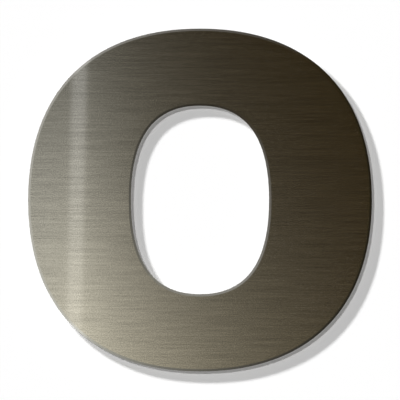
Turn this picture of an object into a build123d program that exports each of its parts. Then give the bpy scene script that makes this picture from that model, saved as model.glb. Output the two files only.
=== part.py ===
"""Self-adhesive house letter O: a bevelled steel plate with a foam tape ring on its back.

Millimetres. The letter stands as it does on a wall: X to the right, Z up, and the front faces -Y.
The origin is the middle of the letter, on the tape face that meets the wall.
"""

import os

from build123d import *

# The letter between its extreme points, and its strokes there
letter_height = 75.0
letter_width = 75.2
top_stroke = 16.9
side_stroke = 22.5

# How full the curves are: the length of a curve's handle as a share of the half axis
# that it lies along, where 0.552 is an ellipse and more is squarer
outer_fullness = 0.635
counter_fullness = 0.67

# The plate, and the bevel round the edges of its front, as wide on the face as it is deep
plate_thickness = 3.0
bevel = 0.5

# The foam tape, and how far it is cut back from the plate's edges
tape_thickness = 0.8
tape_setback = 1.5

counter_height = letter_height - 2 * top_stroke
counter_width = letter_width - 2 * side_stroke


def oval(width, height, fullness, mode=Mode.ADD):
    """Fill or cut away an oval of four like curves, which meet at its extreme points."""
    half_width = width / 2
    half_height = height / 2
    with BuildLine() as loop:
        Bezier(
            (half_width, 0),
            (half_width, fullness * half_height),
            (fullness * half_width, half_height),
            (0, half_height),
        )
        mirror(about=Plane.YZ)
        mirror(about=Plane.XZ)
    make_face(loop.edges(), mode=mode)


def outer_oval(setback=0.0):
    """Fill the letter's outer oval, with its edge drawn in."""
    oval(letter_width - 2 * setback, letter_height - 2 * setback, outer_fullness)


def counter_oval(setback=0.0, mode=Mode.ADD):
    """Fill or cut away the counter, with its edge drawn out."""
    oval(counter_width + 2 * setback, counter_height + 2 * setback, counter_fullness, mode)


def letter_outline(setback=0.0):
    """Draw the flat letter, its outer oval less its counter, with both edges drawn back."""
    outer_oval(setback)
    counter_oval(setback, Mode.SUBTRACT)


# Double-sided foam tape, die-cut to the letter and hidden behind it
with BuildPart() as adhesive_pad:
    with BuildSketch(Plane.XZ):
        letter_outline(tape_setback)
    extrude(amount=tape_thickness)

# Steel plate, cut to the letter with straight walls up to the foot of its bevels
plate_back = Plane.XZ.offset(tape_thickness)
bevel_foot = plate_back.offset(plate_thickness - bevel)
plate_face = plate_back.offset(plate_thickness)

with BuildPart() as letter_plate:
    with BuildSketch(plate_back):
        letter_outline()
    extrude(amount=plate_thickness - bevel)
    # Outer bevel, drawn in from the foot to the face
    with BuildSketch(bevel_foot):
        outer_oval()
    with BuildSketch(plate_face):
        outer_oval(bevel)
    loft(ruled=True)
    # Counter, opened out from the foot to the face
    with BuildSketch(bevel_foot):
        counter_oval()
    with BuildSketch(plate_face):
        counter_oval(bevel)
    loft(ruled=True, mode=Mode.SUBTRACT)

os.makedirs("parts", exist_ok=True)

adhesive_pad.part.label = "adhesive_pad"
export_step(adhesive_pad.part, "parts/adhesive_pad.step")

letter_plate.part.label = "letter_plate"
export_step(letter_plate.part, "parts/letter_plate.step")
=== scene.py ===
"""Self-adhesive house letter O on a white wall: a brushed steel plate on a ring of foam tape.

Metres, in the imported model's frame: X to the right, Z up, the front faces -Y, the wall is at Y = 0.
"""

from math import cos, pi, radians, sin

import bmesh
import bpy
from mathutils import Matrix, Vector


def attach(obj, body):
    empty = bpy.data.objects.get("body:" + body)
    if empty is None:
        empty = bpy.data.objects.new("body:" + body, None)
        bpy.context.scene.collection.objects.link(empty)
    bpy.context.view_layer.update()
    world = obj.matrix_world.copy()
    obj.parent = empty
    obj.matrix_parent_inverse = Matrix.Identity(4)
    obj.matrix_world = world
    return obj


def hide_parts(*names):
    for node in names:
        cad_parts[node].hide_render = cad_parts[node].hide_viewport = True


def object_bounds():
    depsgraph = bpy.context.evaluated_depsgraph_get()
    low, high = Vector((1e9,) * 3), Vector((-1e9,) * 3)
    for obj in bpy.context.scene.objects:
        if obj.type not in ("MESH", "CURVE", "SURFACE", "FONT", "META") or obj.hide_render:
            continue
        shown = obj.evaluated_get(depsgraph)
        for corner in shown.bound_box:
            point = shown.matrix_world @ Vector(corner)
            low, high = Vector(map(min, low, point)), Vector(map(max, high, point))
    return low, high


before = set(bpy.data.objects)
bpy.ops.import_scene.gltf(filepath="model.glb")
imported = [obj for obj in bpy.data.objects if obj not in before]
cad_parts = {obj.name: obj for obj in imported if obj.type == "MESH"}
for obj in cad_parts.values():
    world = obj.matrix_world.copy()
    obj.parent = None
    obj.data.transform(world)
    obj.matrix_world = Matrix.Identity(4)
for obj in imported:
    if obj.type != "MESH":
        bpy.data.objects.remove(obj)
cad_low, cad_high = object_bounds()

# Letter plate: a capital O cut from 3 mm stainless sheet, brushed from side to side on its face and
# bevelled round its front edges. Its face, bevels, cut walls and rolled back each have their own finish.
FACE, BEVEL, CUT_WALL, BACK = range(4)
square_on, aslant = 0.99, 0.3
weld_within = 0.000001
flat_below = radians(0.2)
pair_below, pair_corner_below = radians(8.0), radians(120.0)
smooth_below = radians(10.0)

steel_colour = (0.60, 0.575, 0.52)
cut_colour = (0.42, 0.40, 0.365)
rolled_colour = (0.55, 0.54, 0.51)
scratch_strength = 0.3
# The kinds of hairline on the face: length along X, width along Z, and share of the whole
hairlines = {
    "long": (0.010, 0.0003, 0.26),
    "short": (0.0012, 0.00026, 0.14),
    "torn_end": (0.00024, 0.00022, 0.50),
    "faint_band": (0.09, 0.0012, 0.10),
}
unbroken = 1.0
speck_size = 0.0006
drag_width, drag_length, drag_detail = 0.00035, 0.004, 2.0
rolled_size, rolled_detail = 0.0015, 6.0


def place(tree, kind, sockets=None, **settings):
    """Add a node with its settings, and fill its input sockets with values or links."""
    node = tree.nodes.new(kind)
    for name, value in settings.items():
        setattr(node, name, value)
    for key, value in (sockets or {}).items():
        if isinstance(value, bpy.types.NodeSocket):
            tree.links.new(value, node.inputs[key])
        else:
            node.inputs[key].default_value = value
    return node


def maths(tree, operation, first, second=0.0, third=0.0):
    """The result of one Math node."""
    sockets = {0: first, 1: second, 2: third}
    return place(tree, "ShaderNodeMath", sockets, operation=operation).outputs[0]


def scaled(tree, colour, factor):
    """A colour times a number."""
    sockets = {0: colour, "Scale": factor}
    return place(tree, "ShaderNodeVectorMath", sockets, operation="SCALE").outputs[0]


def grain(tree, spacing, detail=1.0):
    """Noise on the object's own coordinates, with a spacing in metres along X, Y and Z."""
    where = place(tree, "ShaderNodeTexCoord").outputs["Object"]
    finer = [1.0 / step for step in spacing]
    stretched = place(tree, "ShaderNodeMapping", {"Vector": where, "Scale": finer}).outputs[0]
    noise = place(tree, "ShaderNodeTexNoise", {"Vector": stretched, "Scale": 1.0, "Detail": detail})
    return noise.outputs[0]


def ranged(tree, value, low, high, near=0.3, far=0.7):
    """The value's usual range, from near to far, stretched to run from low to high."""
    sockets = {"Value": value, "From Min": near, "From Max": far, "To Min": low, "To Max": high}
    return place(tree, "ShaderNodeMapRange", sockets).outputs[0]


def steel(name, colour, lines, tone, roughness, rough_by, relief, anisotropy=0.0):
    """Bare stainless steel whose lines vary its tone, its roughness and its relief."""
    material = bpy.data.materials.new(name)
    material.use_nodes = True
    tree = material.node_tree
    shader = tree.nodes["Principled BSDF"]
    shader.inputs["Metallic"].default_value = 1.0
    shader.inputs["Anisotropic"].default_value = anisotropy
    height = lines(tree)
    tint = ranged(tree, height, 1.0 - tone, 1.0 + tone)
    tree.links.new(scaled(tree, colour, tint), shader.inputs["Base Color"])
    gloss = ranged(tree, height, roughness + rough_by, roughness - rough_by)
    tree.links.new(gloss, shader.inputs["Roughness"])
    bump = {"Height": height, "Strength": scratch_strength, "Distance": relief}
    tree.links.new(place(tree, "ShaderNodeBump", bump).outputs[0], shader.inputs["Normal"])
    # Highlights spread upright, across the brushed lines
    upright = place(tree, "ShaderNodeCombineXYZ", {"Z": 1.0})
    tree.links.new(upright.outputs[0], shader.inputs["Tangent"])
    return material


def brushed_lines(tree):
    """Belt-brushed hairlines along X, all their kinds together."""
    height = 0.0
    for length, width, share in hairlines.values():
        height = maths(tree, "MULTIPLY_ADD", grain(tree, (length, unbroken, width)), share, height)
    return height


def ground_specks(tree):
    """Fine ground specks of the bevel."""
    return grain(tree, (speck_size, speck_size, speck_size))


def drag_lines(tree):
    """Drag lines of the cut, straight through the plate's thickness."""
    return grain(tree, (drag_width, drag_length, drag_width), drag_detail)


def rolled_clouds(tree):
    """Cloudy grey of a cold-rolled sheet."""
    return grain(tree, (rolled_size, rolled_size, rolled_size), rolled_detail)


plate_finishes = {
    FACE: steel(
        "brushed_face", steel_colour, brushed_lines,
        tone=0.45, roughness=0.22, rough_by=0.03, relief=0.00002, anisotropy=0.95,
    ),
    BEVEL: steel(
        "ground_bevel", steel_colour, ground_specks,
        tone=0.05, roughness=0.15, rough_by=0.02, relief=0.000005,
    ),
    CUT_WALL: steel(
        "cut_wall", cut_colour, drag_lines,
        tone=0.2, roughness=0.45, rough_by=0.06, relief=0.00001,
    ),
    BACK: steel(
        "rolled_back", rolled_colour, rolled_clouds,
        tone=0.08, roughness=0.38, rough_by=0.05, relief=0.00001,
    ),
}


def finish_of(normal):
    """Which finish a face of the plate has, by the way it faces."""
    if normal.y < -square_on:
        return FACE
    if normal.y > square_on:
        return BACK
    return BEVEL if normal.y < -aslant else CUT_WALL


def new_object(name, form, materials):
    """Make an object of a finished bmesh, which is freed."""
    mesh = bpy.data.meshes.new(name)
    form.to_mesh(mesh)
    form.free()
    for material in materials:
        mesh.materials.append(material)
    made = bpy.data.objects.new(name, mesh)
    bpy.context.scene.collection.objects.link(made)
    return made


plate_form = bmesh.new()
plate_form.from_mesh(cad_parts["letter_plate"].data)
bmesh.ops.remove_doubles(plate_form, verts=plate_form.verts, dist=weld_within)
bmesh.ops.dissolve_limit(
    plate_form, angle_limit=flat_below, use_dissolve_boundaries=False,
    verts=plate_form.verts, edges=plate_form.edges, delimit=set(),
)
bmesh.ops.join_triangles(
    plate_form, faces=[face for face in plate_form.faces if len(face.verts) == 3],
    angle_face_threshold=pair_below, angle_shape_threshold=pair_corner_below,
)
for face in plate_form.faces:
    face.material_index = finish_of(face.normal)
    face.smooth = True
for edge in plate_form.edges:
    edge.smooth = edge.calc_face_angle() < smooth_below

steel_letter = new_object("steel_letter", plate_form, plate_finishes.values())
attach(steel_letter, "root")
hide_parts("letter_plate")

# Adhesive pad: dark closed-cell foam tape, die-cut to a ring a little smaller than the letter and
# pressed on its back. The foam's rounded cells show through its thin tacky film, over faint clouds,
# with painted shade that darkens the hollows between the cells.
cell_size, cell_relief, cell_strength = 0.0009, 0.0003, 0.8
cloud_size, cloud_detail = 0.006, 3.0
middle_tone, hollow_shade_share, cloud_share = 0.48, -0.5, 0.5
foam_dark, foam_pale = 0.055, 0.13
foam_dull, foam_shiny = 0.75, 0.5
foam_tint = (1.0, 1.0, 1.05)
film_specular = 0.4

foam = bpy.data.materials.new("foam_tape")
foam.use_nodes = True
foam_tree = foam.node_tree
foam_shader = foam_tree.nodes["Principled BSDF"]
foam_shader.inputs["Specular IOR Level"].default_value = film_specular

foam_where = place(foam_tree, "ShaderNodeTexCoord").outputs["Object"]
foam_cells = place(foam_tree, "ShaderNodeTexVoronoi", {"Vector": foam_where, "Scale": 1.0 / cell_size})
cell_depth = foam_cells.outputs["Distance"]
clouds = grain(foam_tree, (cloud_size, cloud_size, cloud_size), cloud_detail)
cloud_tone = maths(foam_tree, "MULTIPLY_ADD", clouds, cloud_share, middle_tone)
# Painted shade: the foam is darker towards the hollows between its cells
foam_tone = maths(foam_tree, "MULTIPLY_ADD", cell_depth, hollow_shade_share, cloud_tone)
foam_grey = ranged(foam_tree, foam_tone, foam_dark, foam_pale)
foam_gloss = ranged(foam_tree, cell_depth, foam_dull, foam_shiny)
foam_relief = {"Height": cell_depth, "Strength": cell_strength, "Distance": cell_relief}
foam_bump = place(foam_tree, "ShaderNodeBump", foam_relief, invert=True).outputs[0]
foam_tree.links.new(scaled(foam_tree, foam_tint, foam_grey), foam_shader.inputs["Base Color"])
foam_tree.links.new(foam_gloss, foam_shader.inputs["Roughness"])
foam_tree.links.new(foam_bump, foam_shader.inputs["Normal"])
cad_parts["adhesive_pad"].data.materials.clear()
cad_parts["adhesive_pad"].data.materials.append(foam)

# Wall: matt white board that the letter is stuck to. It shows from its front only. Its white is mostly
# paint under the lamps, with a little even glow for the eye, which holds the deepest shadow at mid grey.
wall_half = 1.2
wall_gap = 0.00005
wall_paint = 0.9
wall_glow = 0.118

board = bpy.data.materials.new("white_board")
board.use_nodes = True
board_tree = board.node_tree
board_tree.nodes.clear()


def seen_rays(tree):
    """One on rays from the camera, a mirror or glass, and nought on rays that carry light."""
    rays = place(tree, "ShaderNodeLightPath").outputs
    seen = maths(tree, "MAXIMUM", rays["Is Camera Ray"], rays["Is Glossy Ray"])
    return maths(tree, "MAXIMUM", seen, rays["Is Transmission Ray"])


paint = place(board_tree, "ShaderNodeBsdfDiffuse", {"Color": (wall_paint, wall_paint, wall_paint, 1.0)})
seen_glow = maths(board_tree, "MULTIPLY", seen_rays(board_tree), wall_glow)
glow = place(board_tree, "ShaderNodeEmission", {"Strength": seen_glow})
front = place(board_tree, "ShaderNodeAddShader", {0: paint.outputs[0], 1: glow.outputs[0]})
behind = place(board_tree, "ShaderNodeBsdfTransparent")
turned = place(board_tree, "ShaderNodeNewGeometry").outputs["Backfacing"]
sides = place(board_tree, "ShaderNodeMixShader", {0: turned, 1: front.outputs[0], 2: behind.outputs[0]})
place(board_tree, "ShaderNodeOutputMaterial", {"Surface": sides.outputs[0]})


def upright_card(name, half, y, material):
    """A square card of one face, which stands across the Y axis with its front towards -Y."""
    form = bmesh.new()
    stand = Matrix.Translation((0.0, y, 0.0)) @ Matrix.Rotation(radians(90.0), 4, "X")
    bmesh.ops.create_grid(form, x_segments=1, y_segments=1, size=half, matrix=stand)
    return new_object(name, form, [material])


wall = upright_card("wall", wall_half, wall_gap, board)
wall.visible_shadow = False
wall.visible_glossy = False

# Graduated sheet: the card close in front that the bare steel mirrors and nothing else sees. It is bright
# at the lower left and falls away to the upper right, warmer to the lower right, with a slanted strip.
sheet_half = 0.06
sheet_gap = 0.012
sheet_bright = (0.482, 0.482, 0.438)
sheet_dim = (0.037, 0.0255, 0.0085)
fall_start = -0.0263
fall_x, fall_z, fall_xz, fall_zz = 53.6, 30.0, 270.0, 160.0
strip_light = (0.185, 0.185, 0.185)
strip_x, strip_slant = -0.0271, 0.0225
strip_half, strip_soft = 0.0016, 0.0007
middle_tint = (1.006, 1.0, 0.987)
tint_by_metre = (0.8, 0.0, -1.6)


def glowing(name, level):
    """A material that gives out the colour that level works out from X and Z."""
    material = bpy.data.materials.new(name)
    material.use_nodes = True
    tree = material.node_tree
    tree.nodes.clear()
    where = place(tree, "ShaderNodeTexCoord").outputs["Object"]
    along = place(tree, "ShaderNodeSeparateXYZ", {0: where}).outputs
    light = place(tree, "ShaderNodeEmission", {"Color": level(tree, along["X"], along["Z"])})
    place(tree, "ShaderNodeOutputMaterial", {"Surface": light.outputs[0]})
    return material


def plus(tree, first, second):
    """The sum of two colours."""
    return place(tree, "ShaderNodeVectorMath", {0: first, 1: second}).outputs[0]


def times(tree, first, second):
    """The product of two colours."""
    return place(tree, "ShaderNodeVectorMath", {0: first, 1: second}, operation="MULTIPLY").outputs[0]


def graduated(tree, x, z):
    """The sheet's own light, which falls away from the lower left."""
    past_start = maths(tree, "MAXIMUM", maths(tree, "SUBTRACT", x, fall_start))
    slope_at_x = maths(tree, "MULTIPLY_ADD", x, fall_xz, fall_z)
    slope = maths(tree, "MULTIPLY_ADD", z, fall_zz, slope_at_x)
    fall = maths(tree, "MULTIPLY_ADD", past_start, fall_x, maths(tree, "MULTIPLY", z, slope))
    level = maths(tree, "EXPONENT", maths(tree, "MULTIPLY", fall, -1.0))
    return plus(tree, scaled(tree, sheet_bright, level), sheet_dim)


def sheet_level(tree, x, z):
    """The sheet's own light and the slanted strip's."""
    strip_middle = maths(tree, "MULTIPLY_ADD", z, strip_slant, strip_x)
    from_strip = maths(tree, "ABSOLUTE", maths(tree, "SUBTRACT", x, strip_middle))
    edges = {"Value": from_strip, "From Min": strip_half + strip_soft, "From Max": strip_half - strip_soft}
    strip = place(tree, "ShaderNodeMapRange", edges, interpolation_type="SMOOTHSTEP").outputs[0]
    return plus(tree, graduated(tree, x, z), scaled(tree, strip_light, strip))


def warm_sheet_level(tree, x, z):
    """The sheet's light, warmer towards the lower right."""
    right_and_down = maths(tree, "SUBTRACT", x, z)
    tint = plus(tree, scaled(tree, tint_by_metre, right_and_down), middle_tint)
    return times(tree, sheet_level(tree, x, z), tint)


def hidden_aid(aid, mirrored=False, shades=False):
    """Hide a lighting aid, but for its mirror image or its shadow, and leave it off the letter."""
    aid.visible_camera = False
    aid.visible_diffuse = False
    aid.visible_transmission = False
    aid.visible_glossy = mirrored
    aid.visible_shadow = shades


sheet_light = glowing("graduated_sheet", warm_sheet_level)
sheet = upright_card("graduated_sheet", sheet_half, cad_low[1] - sheet_gap, sheet_light)
hidden_aid(sheet, mirrored=True)

# Edge cards: two low bands, one just off the outline and one inside the counter, level with the bevels,
# which mirror them. They follow the sheet's light, with more from the upper left and less away from it.
bevel_width = 0.0005
card_gap = 0.001
card_reach = 0.0008
card_shade = 0.54
card_tint = (0.967, 1.0, 1.075)
white = (1.0, 1.0, 1.0)
outer_light, outer_light_from = 0.28, radians(142.0)
counter_light, counter_light_from = 0.245, radians(132.0)
light_narrowness = 1.5
between_outlines = 0.03


def edge_level(light, light_from):
    """A card's level: the sheet's, raised for bevels that face light_from and lowered for the rest."""
    lit_side = (-cos(light_from), 0.0, -sin(light_from))

    def level(tree, x, z):
        facing = place(tree, "ShaderNodeNewGeometry").outputs["Normal"]
        compared = {0: facing, 1: lit_side}
        lit = place(tree, "ShaderNodeVectorMath", compared, operation="DOT_PRODUCT").outputs["Value"]
        towards = maths(tree, "MAXIMUM", lit)
        away = maths(tree, "MAXIMUM", maths(tree, "MULTIPLY", lit, -1.0))
        raised = maths(tree, "MULTIPLY", maths(tree, "POWER", towards, light_narrowness), light)
        lowered = maths(tree, "MULTIPLY_ADD", maths(tree, "SQRT", away), -card_shade, 1.0)
        sheet_part = scaled(tree, sheet_level(tree, x, z), lowered)
        return times(tree, plus(tree, sheet_part, scaled(tree, white, raised)), card_tint)

    return level


def is_foot(edge):
    """Whether a bevel meets a cut wall at this edge."""
    return {face.material_index for face in edge.link_faces} == {BEVEL, CUT_WALL}


def bevel_feet():
    """A bmesh of the two outlines where the bevels meet the cut walls."""
    form = bmesh.new()
    form.from_mesh(steel_letter.data)
    others = [edge for edge in form.edges if not is_foot(edge)]
    bmesh.ops.delete(form, geom=others, context="EDGES_FACES")
    loose = [vert for vert in form.verts if not vert.link_edges]
    bmesh.ops.delete(form, geom=loose, context="VERTS")
    return form


def drawn_out(form):
    """Draw the outlines' edges out into bands, and return the bands' new vertices."""
    drawn = bmesh.ops.extrude_edge_only(form, edges=form.edges[:])
    return [part for part in drawn["geom"] if isinstance(part, bmesh.types.BMVert)]


def step_off(verts, outer_step, counter_step):
    """Move the outer outline's vertices outwards and the counter's inwards."""
    for vert in verts:
        out = Vector((vert.co.x, 0.0, vert.co.z))
        vert.co += out.normalized() * (outer_step if out.length > between_outlines else -counter_step)


def edge_card(name, outer, light, light_from):
    """Stand a band off the outer outline or the counter's."""
    form = bevel_feet()
    others = [vert for vert in form.verts if (vert.co.xz.length > between_outlines) != outer]
    bmesh.ops.delete(form, geom=others, context="VERTS")
    step_off(form.verts, card_gap, card_gap)
    bmesh.ops.translate(form, vec=(0.0, -bevel_width - card_reach, 0.0), verts=form.verts)
    bmesh.ops.translate(form, vec=(0.0, bevel_width + 2.0 * card_reach, 0.0), verts=drawn_out(form))
    card_light = glowing(name, edge_level(light, light_from))
    hidden_aid(new_object(name, form, [card_light]), mirrored=True)


edge_card("outer_card", True, outer_light, outer_light_from)
edge_card("counter_card", False, counter_light, counter_light_from)

# Shadow rim: a thin flange round both outlines at the foot of the bevels. It is seen nowhere, and stands
# in the key lamp's light alone, where it widens the pale shadow a little on all sides.
outer_rim, counter_rim = 0.00046, 0.00035

rim_form = bevel_feet()
step_off(drawn_out(rim_form), outer_rim, counter_rim)
shadow_rim = new_object("shadow_rim", rim_form, [])
hidden_aid(shadow_rim, shades=True)

# Lamps: a key lamp at the upper left throws the wide pale shadow, a second one nearer to straight
# ahead the narrow darker one, and a lamp behind lights the tape for anyone looking at the back.
bevel_foot_height = cad_high[1] - cad_low[1] - bevel_width


def sun(name, shadow, share, blur, facing=1.0):
    """A lamp that moves the bevel foot's shadow along X and Z, and gives the wall a share of its white."""
    lamp = bpy.data.lights.new(name, "SUN")
    shadow_x, shadow_z = shadow
    travel = Vector((shadow_x, facing * bevel_foot_height, shadow_z)).normalized()
    lamp.energy = share * pi / (wall_paint * abs(travel.y))
    lamp.angle = blur
    holder = bpy.data.objects.new(name, lamp)
    holder.rotation_euler = travel.to_track_quat("-Z", "Y").to_euler()
    holder.visible_glossy = False
    bpy.context.scene.collection.objects.link(holder)
    return holder


def blocked_by(lamp, blockers):
    """Let only these objects stand in a lamp's light."""
    lamp.light_linking.blocker_collection = bpy.data.collections.new(lamp.name + "_blockers")
    for blocker in blockers:
        lamp.light_linking.blocker_collection.objects.link(blocker)


key_lamp = sun("key_lamp", shadow=(0.00222, -0.00215), share=0.505, blur=radians(8.0))
second_lamp = sun("second_lamp", shadow=(0.00056, -0.00058), share=0.302, blur=radians(3.0))
sun("back_lamp", shadow=(0.003, -0.004), share=0.6, blur=radians(20.0), facing=-1.0)
blocked_by(key_lamp, [steel_letter, shadow_rim])
blocked_by(second_lamp, [steel_letter])

# Room: plain white all round, as the eye and the bare steel see it. It gives only a little
# light of its own, so that the lamps' shadows stay on the wall.
room_light = 0.08

room = bpy.data.worlds.new("studio")
bpy.context.scene.world = room
room.use_nodes = True
room_tree = room.node_tree
room_tree.nodes.clear()
room_levels = {"Value": seen_rays(room_tree), "To Min": room_light, "To Max": 1.0}
room_level = place(room_tree, "ShaderNodeMapRange", room_levels).outputs[0]
room_white = place(room_tree, "ShaderNodeBackground", {"Color": (*white, 1.0), "Strength": room_level})
place(room_tree, "ShaderNodeOutputWorld", {"Surface": room_white.outputs[0]})

# Camera: straight ahead with a very long lens, so that the letter shows without its walls. It stands
# far enough back for the letter to span its share of the frame at the foot of the bevels.
frame_px = 400.0
letter_px = 343.9
camera_lens, camera_sensor = 1000.0, 36.0

camera = bpy.data.cameras.new("camera")
camera.lens = camera_lens
camera.sensor_width = camera_sensor
frame_width = (cad_high[0] - cad_low[0]) * frame_px / letter_px
viewer = bpy.data.objects.new("camera", camera)
viewer.location = (0.0, cad_low[1] + bevel_width - frame_width * camera_lens / camera_sensor, 0.0)
viewer.rotation_euler = (radians(90.0), 0.0, 0.0)
bpy.context.scene.collection.objects.link(viewer)
bpy.context.scene.camera = viewer
bpy.context.scene.view_settings.view_transform = "Standard"
